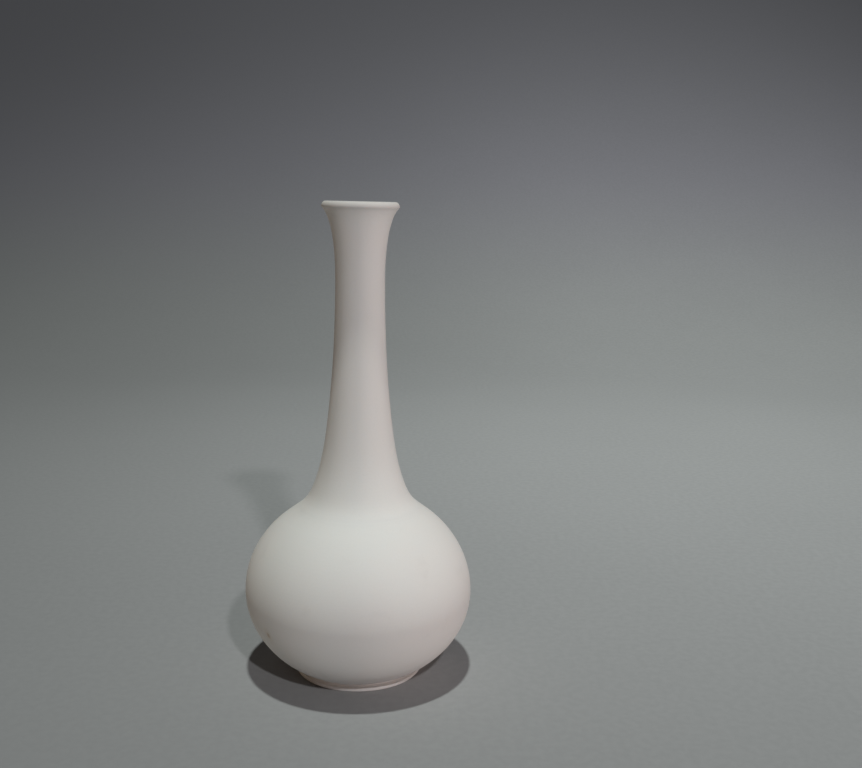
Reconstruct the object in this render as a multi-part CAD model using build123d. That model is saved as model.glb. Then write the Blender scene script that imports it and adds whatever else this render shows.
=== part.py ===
from build123d import *
from math import asin, degrees
import os

os.makedirs("parts", exist_ok=True)

# Long-necked porcelain bud vase, made the way a potter makes a small bottle:
# a closed belly, a neck and a foot ring are thrown and turned separately,
# joined with slip while the clay is leather-hard, and the inside is lined
# with a poured glaze. The outside stays bare, fine white porcelain.
#
# Millimetres. +Z is up. The origin is the centre of the ring the vase stands on.

# ---- driving dimensions ------------------------------------------------------
HEIGHT = 170.0          # foot to lip

BELLY_R = 41.15         # widest radius of the belly
BELLY_Z = 30.5          # height of the widest point
BELLY_RISE = 35.8       # half-height of the upper curve of the belly
BELLY_DROP = 33.4       # half-height of the lower curve

WALL = 3.0              # belly wall
FLOOR_Z = 7.4           # inside floor
FLOOR_FILLET = 7.0      # soft turn where the floor runs up into the wall

SHOULDER_Z = 57.7               # where the belly starts to sweep up into the crease
NECK_FOOT = (15.83, 71.1)       # where the crease gives way to the long taper
NECK_FOOT_LEAN = -0.345         # change of radius for each mm of height there
NECK_MID = (10.1, 106.9)        # halfway up the taper
NECK_MID_LEAN = -0.0875
NECK_MIN = (8.7, 142.0)         # the slimmest part of the neck
FLARE_END = (12.95, 167.4)      # underside of the lip

BORE_R = 5.6            # clay radius of the throat, before it is glazed
THROAT_LOW = 127.0      # the throat is a true cylinder between these heights
THROAT_HIGH = 150.0

LIP_R = 13.55           # outer radius of the lip
LIP_EDGE_Z = 168.3      # height at which the lip is widest
LIP_TOP_R = 12.0        # radius of the very top of the lip
LIP_INNER_R = 10.9      # where the lip rolls over into the mouth

FOOT_R = 23.05          # outer edge of the foot ring
FOOT_INNER_R = 18.6     # recess inside the foot ring
FOOT_EDGE = 1.3         # height of the bright turned edge at the very bottom
COVE_PULL_R = 20.9      # radius that the cove above that edge is drawn in towards
COVE_TOP_Z = 3.4        # where the cove meets the underside of the belly
RECESS_Z = 3.8          # underside of the base, inside the foot ring

SLIP = 0.4              # thickness of slip left in a pressed joint
GLAZE = 0.25            # thickness of the lining glaze
GLAZE_TOP = 168.7       # the glaze is wiped off just below the lip

NECK_JOINT_Z = 61.0     # outer shelf of the belly's opening, in the crease
NECK_STEP_R = 20.0      # radius of the step that centres the neck
NECK_STEP = 1.4         # depth of that step
FOOT_JOINT_Z = 2.8      # shoulder of the foot ring
TONGUE_IN = 19.4        # tongue on the foot ring that centres it
TONGUE_OUT = 20.6
TONGUE = 1.0


# ---- outlines, drawn in the plane of radius (x) and height (y) ---------------
def curve_angle(height, y_half, centre):
    """Ellipse angle, in degrees, at which the curve passes a given height."""
    return degrees(asin((height - centre) / y_half))


def swept(low, low_lean, low_pull, high, high_lean, high_pull):
    """Smooth curve between two points of an outline.

    Lean is the change of radius for each mm of height at that end, and pull is
    how far, in mm of height, the curve keeps to it.
    """
    leave = (low[0] + low_lean * low_pull, low[1] + low_pull)
    arrive = (high[0] - high_lean * high_pull, high[1] - high_pull)
    return Bezier(low, leave, arrive, high)


def lean_of(curve):
    """Change of radius for each mm of height at the upper end of a curve."""
    direction = curve % 1
    return direction.X / direction.Y


def outer_face():
    """Everything inside the outer skin of the vase, solid to the axis."""
    shoulder = curve_angle(SHOULDER_Z, BELLY_RISE, BELLY_Z)
    heel = curve_angle(COVE_TOP_Z, BELLY_DROP, BELLY_Z)
    lower = EllipticalCenterArc((0, BELLY_Z), BELLY_R, BELLY_DROP, heel, arc_size=-heel)
    upper = EllipticalCenterArc((0, BELLY_Z), BELLY_R, BELLY_RISE, 0, arc_size=shoulder)
    top_of_belly = ((upper @ 1).X, (upper @ 1).Y)
    crease = swept(top_of_belly, lean_of(upper), 4.8, NECK_FOOT, NECK_FOOT_LEAN, 7.75)
    taper = swept(NECK_FOOT, NECK_FOOT_LEAN, 7.5, NECK_MID, NECK_MID_LEAN, 20.0)
    slim = swept(NECK_MID, NECK_MID_LEAN, 14.7, NECK_MIN, 0, 3.0)
    flare = Bezier(NECK_MIN, (8.7, 143), (8.3, 161.6), FLARE_END)
    lip_under = Bezier(FLARE_END, (13.23, 167.75), (LIP_R, 167.95), (LIP_R, LIP_EDGE_Z))
    lip_wide = LIP_R - LIP_TOP_R
    lip_high = HEIGHT - LIP_EDGE_Z
    lip_top = EllipticalCenterArc((LIP_TOP_R, LIP_EDGE_Z), lip_wide, lip_high, 0, arc_size=90)
    cove_low = (FOOT_R - 0.15, FOOT_EDGE)
    cove = Bezier(cove_low, (COVE_PULL_R, 1.8), (COVE_PULL_R, 3.1), lower @ 0)
    edge = Polyline((0, HEIGHT), (0, 0), (FOOT_R - 0.6, 0))
    edge_round = RadiusArc(edge @ 1, (FOOT_R, 0.6), -0.6)
    edge_face = Line(edge_round @ 1, cove @ 0)
    top = Line(lip_top @ 1, (0, HEIGHT))
    curves = [edge, edge_round, edge_face, cove, lower, upper, crease, taper, slim]
    curves += [flare, lip_under, lip_top, top]
    return make_face(Curve() + curves)


def hollow_face(lining=0.0):
    """The inside space; lining is what the glaze takes off it all round."""
    x_half = BELLY_R - WALL - lining
    up_half = BELLY_RISE - WALL - 0.1 - lining
    down_half = BELLY_DROP - WALL - lining
    floor = FLOOR_Z + lining
    heel_z = floor + 3.2
    heel = curve_angle(heel_z, down_half, BELLY_Z)
    shoulder = curve_angle(56.5, up_half, BELLY_Z)
    lower = EllipticalCenterArc((0, BELLY_Z), x_half, down_half, heel, arc_size=-heel)
    upper = EllipticalCenterArc((0, BELLY_Z), x_half, up_half, 0, arc_size=shoulder)
    floor_end = (lower @ 0).X - FLOOR_FILLET
    flat = Line((0, floor), (floor_end, floor))
    turn = Spline(flat @ 1, lower @ 0, tangents=[(1, 0), lower % 0])
    bore = BORE_R - lining
    top_of_belly = ((upper @ 1).X, (upper @ 1).Y)
    waist = (13.73 - lining, 68)
    crease = swept(top_of_belly, lean_of(upper), 5.3, waist, -0.5, 1.0)
    taper = swept(waist, -0.5, 12.1, (bore, THROAT_LOW), 0, 3.0)
    throat = Line(taper @ 1, (bore, THROAT_HIGH))
    lip_edge = (LIP_INNER_R - lining, 169.4)
    mouth = swept((bore, THROAT_HIGH), 0, 4.5, lip_edge, 0.6, 5.9)
    roll_end = (LIP_INNER_R + 0.9 - lining, HEIGHT)
    roll = Bezier(lip_edge, (lip_edge[0] + 0.2, 169.73), (roll_end[0] - 0.4, HEIGHT), roll_end)
    close = Polyline(roll @ 1, (0, HEIGHT), (0, floor))
    curves = [flat, turn, lower, upper, crease, taper, throat, mouth, roll, close]
    return make_face(Curve() + curves)


def recess_face():
    """The shallow turned recess under the base, inside the foot ring."""
    outline = Polyline(
        (0, 0),
        (FOOT_INNER_R + 1.0, 0),
        (FOOT_INNER_R + 0.45, 0.5),
        (FOOT_INNER_R, RECESS_Z),
        (0, RECESS_Z),
        close=True,
    )
    return make_face(outline)


def below_neck_joint(gap):
    """Zone under the stepped neck joint, its top raised by gap."""
    step_r = NECK_STEP_R - gap
    outline = Polyline(
        (0, -5),
        (60, -5),
        (60, NECK_JOINT_Z + gap),
        (step_r, NECK_JOINT_Z + gap),
        (step_r, NECK_JOINT_Z - NECK_STEP + gap),
        (0, NECK_JOINT_Z - NECK_STEP + gap),
        close=True,
    )
    return make_face(outline)


def below_foot_joint(gap):
    """Zone under the tongued foot joint, grown by gap all along its top."""
    shelf = FOOT_JOINT_Z + gap
    outline = Polyline(
        (0, -5),
        (30, -5),
        (30, shelf),
        (TONGUE_OUT + gap, shelf),
        (TONGUE_OUT + gap, shelf + TONGUE),
        (TONGUE_IN - gap, shelf + TONGUE),
        (TONGUE_IN - gap, shelf),
        (0, shelf),
        close=True,
    )
    return make_face(outline)


def turned(face):
    """Turn a half-section about the vertical axis."""
    return revolve(Plane.XZ * face, Axis.Z, 360)


# ---- the pieces --------------------------------------------------------------
clay = outer_face() - hollow_face() - recess_face()


def foot_ring():
    """Turned ring the vase stands on, with a tongue that centres it."""
    return turned(clay & below_foot_joint(0))


def foot_slip():
    """Slip pressed between the foot ring and the base."""
    return turned((clay & below_foot_joint(SLIP)) - below_foot_joint(0))


def belly():
    """Closed, thrown belly with its floor and the stepped opening at the top."""
    return turned((clay & below_neck_joint(0)) - below_foot_joint(SLIP))


def neck_slip():
    """Slip pressed between the belly's opening and the neck, wiped flush."""
    return turned((clay & below_neck_joint(SLIP)) - below_neck_joint(0))


def neck():
    """Thrown neck: spigot, long waist, and the mouth with its lip."""
    return turned(clay - below_neck_joint(SLIP))


def liner_glaze():
    """Clear glaze poured round the inside, floor to just below the lip."""
    skin = hollow_face() - hollow_face(GLAZE)
    band = make_face(Polyline((0, 0), (60, 0), (60, GLAZE_TOP), (0, GLAZE_TOP), close=True))
    return turned(skin & band)


PIECES = {
    "foot_ring": foot_ring,
    "foot_slip": foot_slip,
    "belly": belly,
    "neck_slip": neck_slip,
    "neck": neck,
    "liner_glaze": liner_glaze,
}

for name, make in PIECES.items():
    solid = make()
    solid.label = name
    export_step(solid, f"parts/{name}.step")
    box = solid.bounding_box()
    print(
        f"{name:12s} {solid.volume / 1000:8.3f} cm3  z {box.min.Z:7.2f} to {box.max.Z:7.2f}"
        f"  r {box.max.X:6.2f}  solids {len(solid.solids())}"
    )
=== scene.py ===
# %% [markdown]
# # A white porcelain bud vase
#
# The real vase is a small bottle of fine white porcelain: a round belly on a low
# foot ring, a long slim neck, and a mouth that flares like a trumpet. Its outside
# is bare fired clay, as matte and smooth as eggshell. Its inside is glazed, so
# that it can hold water.
#
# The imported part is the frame: it says where every piece is and how large it may
# be. The looks are built here, each piece in the place of its packed one.

# %% Load the frame and keep its box
import math

import bpy
from mathutils import Matrix, Vector


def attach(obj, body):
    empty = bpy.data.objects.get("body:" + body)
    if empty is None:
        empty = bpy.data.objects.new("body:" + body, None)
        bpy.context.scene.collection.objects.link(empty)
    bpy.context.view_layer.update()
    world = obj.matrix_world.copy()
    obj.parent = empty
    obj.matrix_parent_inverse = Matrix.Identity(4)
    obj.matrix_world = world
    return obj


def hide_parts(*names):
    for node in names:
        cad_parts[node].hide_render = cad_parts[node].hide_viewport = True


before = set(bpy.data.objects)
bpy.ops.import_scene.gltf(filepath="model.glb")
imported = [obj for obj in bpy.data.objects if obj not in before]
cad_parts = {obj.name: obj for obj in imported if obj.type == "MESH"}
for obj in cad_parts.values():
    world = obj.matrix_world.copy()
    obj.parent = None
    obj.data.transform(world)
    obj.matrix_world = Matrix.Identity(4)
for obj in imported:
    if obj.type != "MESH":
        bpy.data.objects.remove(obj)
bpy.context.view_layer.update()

# %% [markdown]
# ## The outline
#
# A pot that is thrown or turned is round about one axis, so its whole shape is one
# outline of radius against height. It could be modelled with a subdivided cage, but
# a potter's own tool is a rib cut to the profile, and that is what is done here: a
# few curves give the profile, and turning it gives the pot. The heights and radii
# are in millimetres, because that is how a potter would write them down.

# %% The sizes of the vase
MM = 0.001
HEIGHT = 170.0
BELLY_R, BELLY_Z, BELLY_RISE, BELLY_DROP = 41.12, 30.5, 35.8, 33.4
SHOULDER_Z, COVE_TOP_Z = 57.7, 3.4
WALL, FLOOR_Z, FLOOR_FILLET = 3.0, 7.4, 7.0
NECK_FOOT, NECK_MID, NECK_MIN = (15.83, 71.1), (10.1, 106.9), (8.7, 142.0)
NECK_FOOT_LEAN, NECK_MID_LEAN = -0.345, -0.0875
FLARE_END, LIP_EDGE, LIP_TOP_R = (12.95, 167.4), (13.55, 168.3), 12.0
BORE_R, THROAT_LOW, THROAT_HIGH, LIP_INNER_R = 5.6, 127.0, 150.0, 10.9
FOOT_R, FOOT_INNER_R, FOOT_EDGE, COVE_PULL_R = 23.05, 18.6, 1.3, 20.9
FOOT_ROUND, SOLE_BEVEL = 0.6, 0.5
RECESS_Z, GLAZE, GLAZE_TOP, SLIP = 3.8, 0.25, 168.7, 0.4
print(f"{HEIGHT:.0f} mm tall, {2 * BELLY_R:.1f} mm across the belly")


# %% Curves to draw an outline with
def bend(low, leave, arrive, high, steps=40):
    """Points of a smooth curve that leaves and arrives towards its two handles."""
    points = []
    for i in range(steps + 1):
        t = i / steps
        weights = ((1 - t) ** 3, 3 * t * (1 - t) ** 2, 3 * t * t * (1 - t), t**3)
        corners = (low, leave, arrive, high)
        points.append(tuple(sum(w * c[k] for w, c in zip(weights, corners)) for k in (0, 1)))
    return points


def swept(low, low_lean, low_pull, high, high_lean, high_pull, steps=40):
    """The same, told how much the radius changes for each mm of height at its ends."""
    leave = (low[0] + low_lean * low_pull, low[1] + low_pull)
    arrive = (high[0] - high_lean * high_pull, high[1] - high_pull)
    return bend(low, leave, arrive, high, steps)


def round_arc(centre, radius, start, end, rise=None, steps=10):
    """Points of an arc from one angle to another; rise makes it an ellipse."""
    tall = radius if rise is None else rise
    points = []
    for i in range(steps + 1):
        angle = math.radians(start + (end - start) * i / steps)
        points.append((centre[0] + radius * math.cos(angle), centre[1] + tall * math.sin(angle)))
    return points


def angle_at(height, tall, centre):
    return math.degrees(math.asin((height - centre) / tall))


def joined(*runs):
    """One run of points out of several that meet end to end."""
    points = []
    for run in runs:
        points += [p for p in run if not points or math.dist(p, points[-1]) > 1e-4]
    return points


# %% The outside, from the standing face up to the top of the lip
def outside():
    heel = angle_at(COVE_TOP_Z, BELLY_DROP, BELLY_Z)
    shoulder = angle_at(SHOULDER_Z, BELLY_RISE, BELLY_Z)
    lower = round_arc((0, BELLY_Z), BELLY_R, heel, 0, BELLY_DROP, 60)
    upper = round_arc((0, BELLY_Z), BELLY_R, 0, shoulder, BELLY_RISE, 60)
    foot = round_arc((FOOT_R - FOOT_ROUND, FOOT_ROUND), FOOT_ROUND, -90, 0, steps=6)
    edge = (FOOT_R - 0.15, FOOT_EDGE)
    cove = bend(edge, (COVE_PULL_R, 1.8), (COVE_PULL_R, 3.1), lower[0], 24)
    lean = (upper[-1][0] - upper[-2][0]) / (upper[-1][1] - upper[-2][1])
    crease = swept(upper[-1], lean, 4.8, NECK_FOOT, NECK_FOOT_LEAN, 7.75, 40)
    taper = swept(NECK_FOOT, NECK_FOOT_LEAN, 7.5, NECK_MID, NECK_MID_LEAN, 20.0, 40)
    slim = swept(NECK_MID, NECK_MID_LEAN, 14.7, NECK_MIN, 0, 3.0, 30)
    flare = bend(NECK_MIN, (8.7, 143), (8.3, 161.6), FLARE_END, 50)
    under = bend(FLARE_END, (13.23, 167.75), (LIP_EDGE[0], 167.95), LIP_EDGE, 8)
    wide, high = LIP_EDGE[0] - LIP_TOP_R, HEIGHT - LIP_EDGE[1]
    top = round_arc((LIP_TOP_R, LIP_EDGE[1]), wide, 0, 90, high, 16)
    return joined(foot, cove, lower, upper, crease, taper, slim, flare, under, top)


# %% The inside, from the floor up to the top of the lip
def inside(lining=0.0):
    wide = BELLY_R - WALL - lining
    up, down = BELLY_RISE - WALL - 0.1 - lining, BELLY_DROP - WALL - lining
    floor = FLOOR_Z + lining
    heel = angle_at(floor + 3.2, down, BELLY_Z)
    shoulder = angle_at(56.5, up, BELLY_Z)
    lower = round_arc((0, BELLY_Z), wide, heel, 0, down, 40)
    upper = round_arc((0, BELLY_Z), wide, 0, shoulder, up, 40)
    start = (lower[0][0] - FLOOR_FILLET, floor)
    arrive = (lower[0][0] - 2.2, lower[0][1] - 1.7)
    turn = bend(start, (start[0] + 3.6, floor), arrive, lower[0], 16)
    lean = (upper[-1][0] - upper[-2][0]) / (upper[-1][1] - upper[-2][1])
    waist, bore = (13.73 - lining, 68), BORE_R - lining
    crease = swept(upper[-1], lean, 5.3, waist, -0.5, 1.0, 24)
    taper = swept(waist, -0.5, 12.1, (bore, THROAT_LOW), 0, 3.0, 40)
    lip = (LIP_INNER_R - lining, 169.4)
    mouth = swept((bore, THROAT_HIGH), 0, 4.5, lip, 0.6, 5.9, 24)
    roll = bend(lip, (lip[0] + 0.2, 169.73), (lip[0] + 0.5, HEIGHT), (lip[0] + 0.9, HEIGHT), 8)
    return joined([(0, floor), start], turn, lower, upper, crease, taper, mouth, roll)


outer, inner, glazed = outside(), inside(), inside(GLAZE)
print(len(outer), "points outside,", len(inner), "inside")

# %% [markdown]
# ## Cutting the outline into its pieces
#
# The belly, the neck and the foot ring are made apart and joined with slip. Each
# joint is a step or a tongue, so that the pieces centre themselves, and a film of
# slip fills it. The outlines below follow the wall from joint to joint.


# %% Take the stretch of an outline between two heights
def stretch(points, low, high):
    """The part of an outline between two heights, cut exactly at both."""
    kept = []
    for a, b in zip(points, points[1:]):
        if b[1] <= low or a[1] >= high:
            continue
        ends = []
        for p, q in ((a, b), (b, a)):
            cut = min(max(p[1], low), high)
            t = 0 if q[1] == p[1] else (cut - p[1]) / (q[1] - p[1])
            ends.append((p[0] + (q[0] - p[0]) * t, cut))
        kept = joined(kept, ends)
    return kept


# %% The outline of each piece
FOOT_JOINT, TONGUE_IN, TONGUE_OUT, TONGUE = 2.8, 19.4, 20.6, 1.0
NECK_JOINT, STEP_R, STEP = 61.0, 20.0, 1.4


def tongue(gap):
    """The top of the foot joint, from the recess outwards, grown by the slip."""
    low = FOOT_JOINT + gap
    inner_r, outer_r = TONGUE_IN - gap, TONGUE_OUT + gap
    corners = [(inner_r, low), (inner_r, low + TONGUE), (outer_r, low + TONGUE), (outer_r, low)]
    return [(FOOT_INNER_R, low), *corners]


def step(gap):
    """The neck joint, from the outside inwards, raised by the slip."""
    high = NECK_JOINT + gap
    edge = STEP_R - gap
    return [(edge, high), (edge, high - STEP)]


def loops():
    """Each piece's closed outline, going round the solid."""
    sole = [(FOOT_INNER_R + 0.45, SOLE_BEVEL), (FOOT_INNER_R + 1.0, 0.0)]
    seam = NECK_JOINT - STEP
    slip_edge = stretch(outer, FOOT_JOINT, FOOT_JOINT + SLIP)
    return {
        "foot_ring": joined(sole, stretch(outer, 0, FOOT_JOINT), reversed(tongue(0))),
        "foot_slip": joined(tongue(0), slip_edge, reversed(tongue(SLIP))),
        "belly": joined(
            [(0, RECESS_Z), (FOOT_INNER_R, RECESS_Z)],
            tongue(SLIP),
            stretch(outer, FOOT_JOINT + SLIP, NECK_JOINT),
            step(0),
            reversed(stretch(inner, FLOOR_Z - 1, seam)),
            [(0, FLOOR_Z)],
        ),
        "neck_slip": joined(
            reversed(step(0)),
            stretch(outer, NECK_JOINT, NECK_JOINT + SLIP),
            step(SLIP),
            reversed(stretch(inner, seam, seam + SLIP)),
        ),
        "neck": joined(
            reversed(step(SLIP)),
            stretch(outer, NECK_JOINT + SLIP, HEIGHT),
            reversed(stretch(inner, seam + SLIP, HEIGHT)),
        ),
        "liner_glaze": joined(
            [p for p in inner if p[1] <= GLAZE_TOP],
            reversed([p for p in glazed if p[1] <= GLAZE_TOP]),
        ),
    }


for name, loop in loops().items():
    heights = [p[1] for p in loop]
    print(f"{name}: {len(loop)} points, {min(heights):.1f} to {max(heights):.1f} mm high")

# %% [markdown]
# ## Turning the outline into a pot
#
# Each outline is turned about the axis into a closed mesh of four-sided faces. The
# Screw modifier could do the same, but a hand on a wheel is never quite steady, and
# here every ring of points can be drawn in or out by a few hundredths of a
# millimetre. The same hand is used on all the pieces, so the joints stay shut.

# %% A steady hand, not a perfect one
TURNS = 288
DRAWN_IN, OFF_CENTRE, LIP_DIP = 0.0011, 0.27, 0.08
SHARP = math.radians(32)


def soft_step(value, start, end):
    """0 below start, 1 above end, and smooth between them."""
    t = min(max((value - start) / (end - start), 0.0), 1.0)
    return t * t * (3 - 2 * t)


def hand(radius, angle, height):
    """Where a potter's hand really leaves a point of the wall, in metres."""
    slow = math.sin(angle + 0.9) * math.sin(height * 0.021 + 0.4)
    oval = math.sin(2 * angle + 0.3 + height * 0.004)
    drawn = radius * (1 - DRAWN_IN * (1 + 0.6 * slow + 0.4 * oval))
    x, y = drawn * math.cos(angle), drawn * math.sin(angle)
    off_centre = OFF_CENTRE * math.sin(0.08 * (30 - height)) * (1 - soft_step(height, 50, 70))
    dip = LIP_DIP * soft_step(height, 150, 168) * (1 + x / LIP_EDGE[0])
    return (x + off_centre) * MM, y * MM, (height - dip) * MM


def turned(name, loop):
    """A closed mesh turned from a closed outline."""
    points = joined(loop)
    if math.dist(points[0], points[-1]) < 1e-4:
        points.pop()
    vertices, rings = [], []
    for radius, height in points:
        if radius < 1e-6:
            rings.append([len(vertices)] * TURNS)
            vertices.append((0, 0, height * MM))
            continue
        rings.append(list(range(len(vertices), len(vertices) + TURNS)))
        vertices += [hand(radius, 2 * math.pi * i / TURNS, height) for i in range(TURNS)]
    faces = []
    for low, high in zip(rings, rings[1:] + rings[:1]):
        if low[0] == low[1] and high[0] == high[1]:
            continue
        for i in range(TURNS):
            j = (i + 1) % TURNS
            corners = [low[i], low[j], high[j], high[i]]
            faces.append(list(dict.fromkeys(corners)))
    mesh = bpy.data.meshes.new(name)
    mesh.from_pydata(vertices, [], faces)
    mesh.update()
    mesh.shade_smooth()
    mesh.set_sharp_from_angle(angle=SHARP)
    piece = bpy.data.objects.new(name, mesh)
    bpy.context.scene.collection.objects.link(piece)
    return piece


# %% Turn all six pieces and put them in the frame
pieces = {}
for node, loop in loops().items():
    piece = turned("turned_" + node, loop)
    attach(piece, "root")
    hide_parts(node)
    pieces[node] = piece
    print(f"{node}: {len(piece.data.polygons)} faces")

# %% [markdown]
# ## Writing materials as sums
#
# A material is a web of nodes. Wired by hand, a simple sum takes ten lines, so one
# small class wraps the end of a wire and lets Python's own signs build the nodes:
# mask * 0.3 + grain makes a Multiply and an Add.


# %% A wire that can be added and multiplied
class Wire:
    """The output of a node, which Python's operators build on."""

    def __init__(self, finish, socket):
        self.finish, self.socket = finish, socket

    def sum(self, operation, *values):
        return self.finish.node("ShaderNodeMath", {"operation": operation}, dict(enumerate(values)))

    def __add__(self, other):
        return self.sum("ADD", self, other)

    def __sub__(self, other):
        return self.sum("SUBTRACT", self, other)

    def __rsub__(self, other):
        return self.sum("SUBTRACT", other, self)

    def __mul__(self, other):
        return self.sum("MULTIPLY", self, other)

    def fade(self, start, end):
        """A mask that goes smoothly from 0 at start to 1 at end."""
        flat = {"interpolation_type": "SMOOTHSTEP"}
        values = {"Value": self, "From Min": start, "From Max": end, "To Min": 0.0, "To Max": 1.0}
        return self.finish.node("ShaderNodeMapRange", flat, values)

    __radd__, __rmul__ = __add__, __mul__


# %% A material and the one method that makes its nodes
class Finish:
    """A new material with its main shader, to which wires are led."""

    def __init__(self, name, **constants):
        self.material = bpy.data.materials.new(name)
        self.material.use_nodes = True
        self.tree = self.material.node_tree
        self.shader = self.tree.nodes["Principled BSDF"]
        for socket, value in constants.items():
            self.shader.inputs[socket.replace("_", " ")].default_value = value

    def node(self, kind, settings=None, values=None, output=0):
        """Add a node, settings first, then its sockets; gives back one output."""
        new = self.tree.nodes.new(kind)
        for key, value in (settings or {}).items():
            setattr(new, key, value)
        for key, value in (values or {}).items():
            if isinstance(value, Wire):
                self.tree.links.new(value.socket, new.inputs[key])
            else:
                new.inputs[key].default_value = value
        return Wire(self, new.outputs[output])

    def mix(self, mask, colour, other):
        """Colour where the mask is 0, other where it is 1."""
        new = self.tree.nodes.new("ShaderNodeMix")
        new.data_type = "RGBA"
        new.clamp_factor = True
        for key, value in (("Factor", mask), ("A", colour), ("B", other)):
            kind = "VALUE" if key == "Factor" else "RGBA"
            socket = next(s for s in new.inputs if s.name == key and s.type == kind)
            if isinstance(value, Wire):
                self.tree.links.new(value.socket, socket)
            else:
                socket.default_value = value if key == "Factor" else (*value, 1.0)
        return Wire(self, next(s for s in new.outputs if s.type == "RGBA"))

    def lead(self, socket, wire):
        self.tree.links.new(wire.socket, self.shader.inputs[socket])

    def give(self, *objects):
        for obj in objects:
            obj.data.materials.clear()
            obj.data.materials.append(self.material)
        print(f"{self.material.name}: {len(self.tree.nodes)} nodes, on {len(objects)} pieces")


# %% [markdown]
# ## Bare porcelain
#
# Fired porcelain with no glaze is a hard white ceramic with a skin like eggshell:
# very fine grain, no mirror gloss, and a faint soft sheen where the light grazes it.
# It is never one flat white. The clay body is a touch warmer where the kiln ran
# hotter, handling leaves a trace of grey, and a speck of iron burns out to a small
# brown pit. The top of the lip and the bottom of the foot ring get painted shade:
# their colour is made darker to stand in for shade. All of that is worked out from
# the place on the pot, in metres, so it keeps its real size.


# %% Where on the pot a place is
def place(finish):
    """The position on the object, and its height, as wires."""
    here = finish.node("ShaderNodeTexCoord", output="Object")
    height = finish.node("ShaderNodeSeparateXYZ", values={"Vector": here}, output="Z")
    return here, height


def noise(finish, here, size, detail=3.0, rough=0.5):
    """Soft random patches about as large as size, in metres, from 0 to 1."""
    values = {"Vector": here, "Scale": 1 / size, "Detail": detail, "Roughness": rough}
    return finish.node("ShaderNodeTexNoise", values=values)


def distance(finish, here, centre):
    """Distance from a place, in metres."""
    values = {0: here, 1: centre}
    return finish.node("ShaderNodeVectorMath", {"operation": "DISTANCE"}, values, output="Value")


def spot(finish, here, centre, radii, turn=(0.0, 0.0, 0.0)):
    """Distance from a place on the pot, in radii, for an oval spot."""
    settings = {"vector_type": "TEXTURE"}
    values = {"Vector": here, "Location": centre, "Rotation": turn, "Scale": radii}
    moved = finish.node("ShaderNodeMapping", settings, values)
    return finish.node("ShaderNodeVectorMath", {"operation": "LENGTH"}, {0: moved}, output="Value")


# %% Mix the bare porcelain
GRAIN = 0.00003
SPECK, SPECK_RADII, SPECK_TURN = (-0.0293, -0.0273, 0.0225), (0.0012, 0.0014, 0.0018), (0.0, -0.45, 0.0)


def bare_porcelain(name, base, warm):
    clay = Finish(name, Specular_IOR_Level=0.32, Subsurface_Weight=0.12, Subsurface_Scale=0.002)
    clay.shader.inputs["Subsurface Radius"].default_value = (1.0, 0.8, 0.65)
    here, height = place(clay)
    kiln = noise(clay, here, 0.045, 2.0).fade(0.35, 0.7)
    smudge = noise(clay, here, 0.011, 4.0, 0.6).fade(0.58, 0.8)
    fine = noise(clay, here, 0.0006, 2.0)
    grain = noise(clay, here, 0.00022, 2.0)
    colour = clay.mix(kiln * 0.8, base, warm)
    colour = clay.mix(smudge * 0.10, colour, (0.50, 0.48, 0.46))
    colour = clay.mix(fine.fade(0.4, 0.75) * 0.05, colour, (0.60, 0.57, 0.54))
    # painted shade: the top of the lip and the bottom of the foot ring are coloured darker, standing in
    # for shade
    painted_shade_edges = height.fade(0.1670, 0.1690) + (1 - height.fade(0.0010, 0.0034)) * 0.6
    colour = clay.mix(painted_shade_edges * 0.45, colour, (0.50, 0.47, 0.44))
    away = spot(clay, here, SPECK, SPECK_RADII, SPECK_TURN)
    pit, halo = 1 - away.fade(0.2, 0.9), 1 - away.fade(0.5, 2.4)
    colour = clay.mix(halo * 0.22, colour, (0.62, 0.50, 0.34))
    colour = clay.mix(pit * 0.5, colour, (0.40, 0.25, 0.12))
    clay.lead("Base Color", colour)
    clay.lead("Roughness", 0.62 + kiln * 0.05 + fine * 0.10 - smudge * 0.04)
    wave = {"wave_type": "BANDS", "bands_direction": "Z", "wave_profile": "SIN"}
    run = {"Vector": here, "Scale": 260.0, "Distortion": 1.2, "Detail": 2.0}
    lines = clay.node("ShaderNodeTexWave", wave, run)
    relief = grain * 0.6 + fine * 0.4 + lines * 0.25 - pit
    skin = {"Height": relief, "Strength": 0.35, "Distance": GRAIN}
    clay.lead("Normal", clay.node("ShaderNodeBump", values=skin))
    return clay


clay = bare_porcelain("bare_porcelain", (0.80, 0.785, 0.755), (0.80, 0.765, 0.735))
clay.give(pieces["belly"], pieces["neck"], pieces["foot_ring"])
slip = bare_porcelain("fired_slip", (0.805, 0.79, 0.76), (0.80, 0.765, 0.735))
slip.shader.inputs["Subsurface Weight"].default_value = 0.0
slip.give(pieces["neck_slip"], pieces["foot_slip"])

# %% [markdown]
# ## The lining glaze
#
# A clear glaze over white clay looks like white china: the colour comes from the
# clay and the shine from a thin glassy coat. It pools a little at the bottom, where
# it is slightly greener, and it has the odd pinhole.


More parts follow.
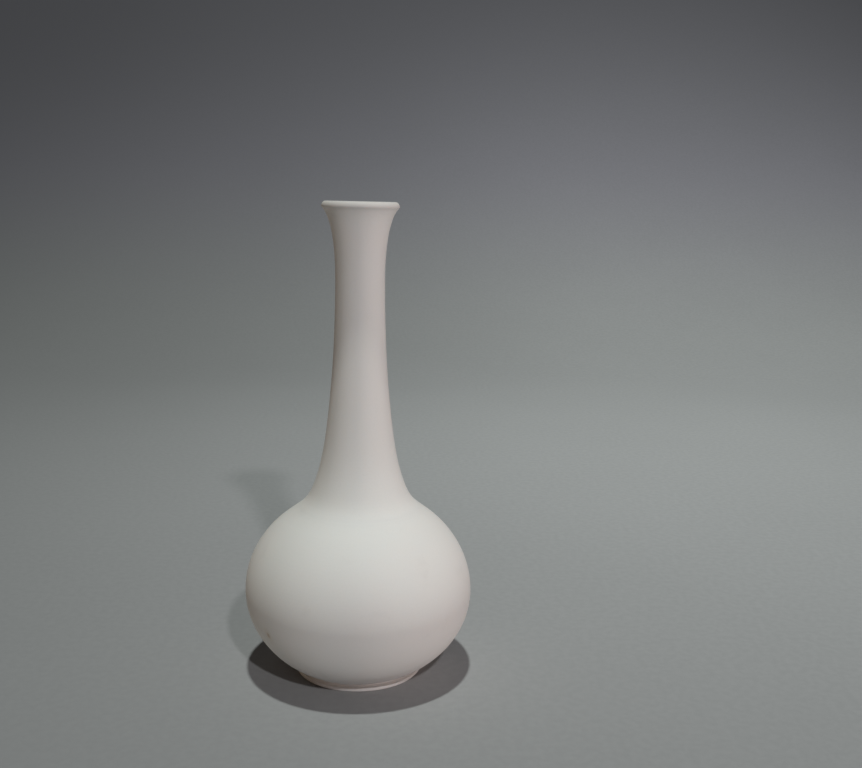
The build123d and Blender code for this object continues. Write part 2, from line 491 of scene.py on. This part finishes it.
# %% Mix the lining glaze
def lining_glaze():
    glaze = Finish("liner_glaze", Coat_Roughness=0.04, Coat_IOR=1.52, Specular_IOR_Level=0.5)
    here, height = place(glaze)
    pool = 1 - height.fade(0.007, 0.03)
    cloud = noise(glaze, here, 0.02, 3.0).fade(0.3, 0.8)
    pinhole = noise(glaze, here, 0.0012, 1.0).fade(0.74, 0.8)
    colour = glaze.mix(cloud, (0.80, 0.80, 0.77), (0.77, 0.775, 0.74))
    colour = glaze.mix(pool * 0.5, colour, (0.70, 0.75, 0.71))
    colour = glaze.mix(pinhole * 0.3, colour, (0.55, 0.5, 0.44))
    glaze.lead("Base Color", colour)
    glaze.lead("Roughness", 0.10 + cloud * 0.06)
    glaze.lead("Coat Weight", 0.9 - pinhole * 0.6)
    ripple = noise(glaze, here, 0.006, 2.0) - pinhole * 0.5
    skin = {"Height": ripple, "Strength": 0.3, "Distance": 0.0001}
    glaze.lead("Normal", glaze.node("ShaderNodeBump", values=skin))
    return glaze


lining_glaze().give(pieces["liner_glaze"])

# %% [markdown]
# ## The table it stands on
#
# The vase stands on one long sheet of pale grey paper, which lies flat and then
# rises behind it in a wide curve, so that no edge shows. A plane with a bevelled
# fold would do, but a strip of points pushed along an L with a rounded corner
# gives the curve directly. Light is painted into the paper's colour: a painted
# pool of light makes it palest at the back on the right and near the vase, and
# painted falloff makes it darker and a little more violet where it rises.


# %% Lay the paper sweep
def paper_sweep():
    front, back, curve, top = -1.6, 0.6, 1.1, 2.6
    line = [(front + (back - front) * i / 12, 0.0) for i in range(13)]
    for angle in (math.radians(2.5 * i) for i in range(1, 37)):
        line.append((back + curve * math.sin(angle), curve - curve * math.cos(angle)))
    line += [(back + curve, curve + (top - curve) * i / 8) for i in range(1, 9)]
    wide = [-2.2 + 4.4 * i / 8 for i in range(9)]
    vertices = [(x, y, z) for y, z in line for x in wide]
    n = len(wide)
    corners = [r * n + c for r in range(len(line) - 1) for c in range(n - 1)]
    faces = [(k, k + 1, k + n + 1, k + n) for k in corners]
    mesh = bpy.data.meshes.new("paper_sweep")
    mesh.from_pydata(vertices, [], faces)
    mesh.shade_smooth()
    sweep = bpy.data.objects.new("paper_sweep", mesh)
    bpy.context.scene.collection.objects.link(sweep)
    return sweep


paper = Finish("pale_paper", Specular_IOR_Level=0.3)
here, height = place(paper)
fibre = noise(paper, here, 0.003, 4.0)
cloud = noise(paper, here, 0.12, 3.0)
across = paper.node("ShaderNodeSeparateXYZ", values={"Vector": here}, output="X")
# painted light: these masks paint a pool of light at the back on the right, another near the vase, and
# a darker falloff up the curve into the paper's colour
pool = 1 - distance(paper, here, (0.4, 0.7, 0.1)).fade(0.0, 1.4)
painted_light_near_vase = 1 - distance(paper, here, (0.1, 0.3, 0.0)).fade(0.0, 0.5)
right, painted_falloff_up_curve = across.fade(-0.3, 0.3), height.fade(0.0, 0.5)
pale = 0.213 + pool * 0.31 - right * 0.052 + pool * right * 0.213 - painted_falloff_up_curve * 0.061 + painted_light_near_vase * 0.125
# painted falloff: the paper turns a little more violet where it rises
painted_falloff_tint = paper.mix(height.fade(0.0, 0.25), (0.97, 0.95, 0.955), (0.95, 0.89, 1.0))
shade = paper.mix(pale * 1.07, (0.0, 0.0, 0.0), painted_falloff_tint)
paper.lead("Base Color", paper.mix(fibre.fade(0.3, 0.7) * 0.10 + cloud * 0.08, shade, (0.2, 0.2, 0.2)))
paper.lead("Roughness", 0.7 + fibre * 0.1)
skin = {"Height": fibre, "Strength": 0.2, "Distance": 0.0003}
paper.lead("Normal", paper.node("ShaderNodeBump", values=skin))
paper.give(paper_sweep())

# %% [markdown]
# ## Light and camera
#
# A strong small lamp hangs high over the vase and gives the dark shadow under the
# belly. A weaker one stands near, in front and to the right, and gives the faint
# long shadow. Three low panels fill the sides with warm light. They could be dimmed
# until the shadow on the paper keeps its depth, but then the sides of the pot fall
# dark, so light linking lets them shine on the pot only. The camera stands level
# with the lip and looks down a little.


# %% Hang the lamps
AIM = Vector((0.0, 0.0, 0.06))


def lamp(name, towards, distance, size, power, colour=(1, 1, 1)):
    """A round lamp in a direction from the vase, turned to face it."""
    way = Vector(towards).normalized()
    light = bpy.data.lights.new(name, "AREA")
    light.shape, light.size, light.energy, light.color = "DISK", size, power, colour
    holder = bpy.data.objects.new(name, light)
    holder.location = way * distance + AIM
    holder.rotation_euler = way.to_track_quat("Z", "Y").to_euler()
    bpy.context.scene.collection.objects.link(holder)
    print(f"{name}: {power} W, {distance} m away")
    return holder


lamp("high_lamp", (0.0, -0.10, 1.0), 2.6, 0.12, 32.4, (0.915, 1.0, 0.965))
lamp("right_lamp", (0.224, -0.707, 0.575), 0.938, 0.045, 2.3, (0.97, 0.98, 1.0))
panels = [
    lamp("right_front_panel", (0.7, -0.7, 0.05), 2.2, 0.24, 7.9, (1.0, 0.85, 0.84)),
    lamp("right_panel", (1.0, 0.0, 0.05), 2.2, 0.24, 6.8, (1.0, 0.85, 0.82)),
    lamp("left_panel", (-1.0, 0.0, 0.15), 2.2, 0.5, 4.1, (1.0, 0.73, 0.51)),
]
lit = bpy.data.collections.new("lit_by_the_panels")
for piece in pieces.values():
    lit.objects.link(piece)
for panel in panels:
    panel.light_linking.receiver_collection = lit

world = bpy.data.worlds.new("room")
bpy.context.scene.world = world
world.use_nodes = True
room = world.node_tree.nodes["Background"]
room.inputs["Color"].default_value = (0.9, 0.93, 1.0, 1)
room.inputs["Strength"].default_value = 0.01
bpy.context.scene.view_settings.view_transform = "Standard"

# %% Set up the camera
LENS, EYE, LOOK_DOWN, ROLL = 42.58, (0.0253, -0.3567, 0.170), 10.107, 0.94
camera = bpy.data.cameras.new("camera")
camera.sensor_width, camera.lens = 36.0, LENS
eye = bpy.data.objects.new("camera", camera)
level = Matrix.Rotation(math.radians(90 - LOOK_DOWN), 4, "X")
roll = Matrix.Rotation(math.radians(ROLL), 4, "Z")
eye.matrix_world = Matrix.Translation(EYE) @ level @ roll
bpy.context.scene.collection.objects.link(eye)
bpy.context.scene.camera = eye
print(f"camera {camera.lens} mm, {Vector(eye.location).length:.3f} m away")
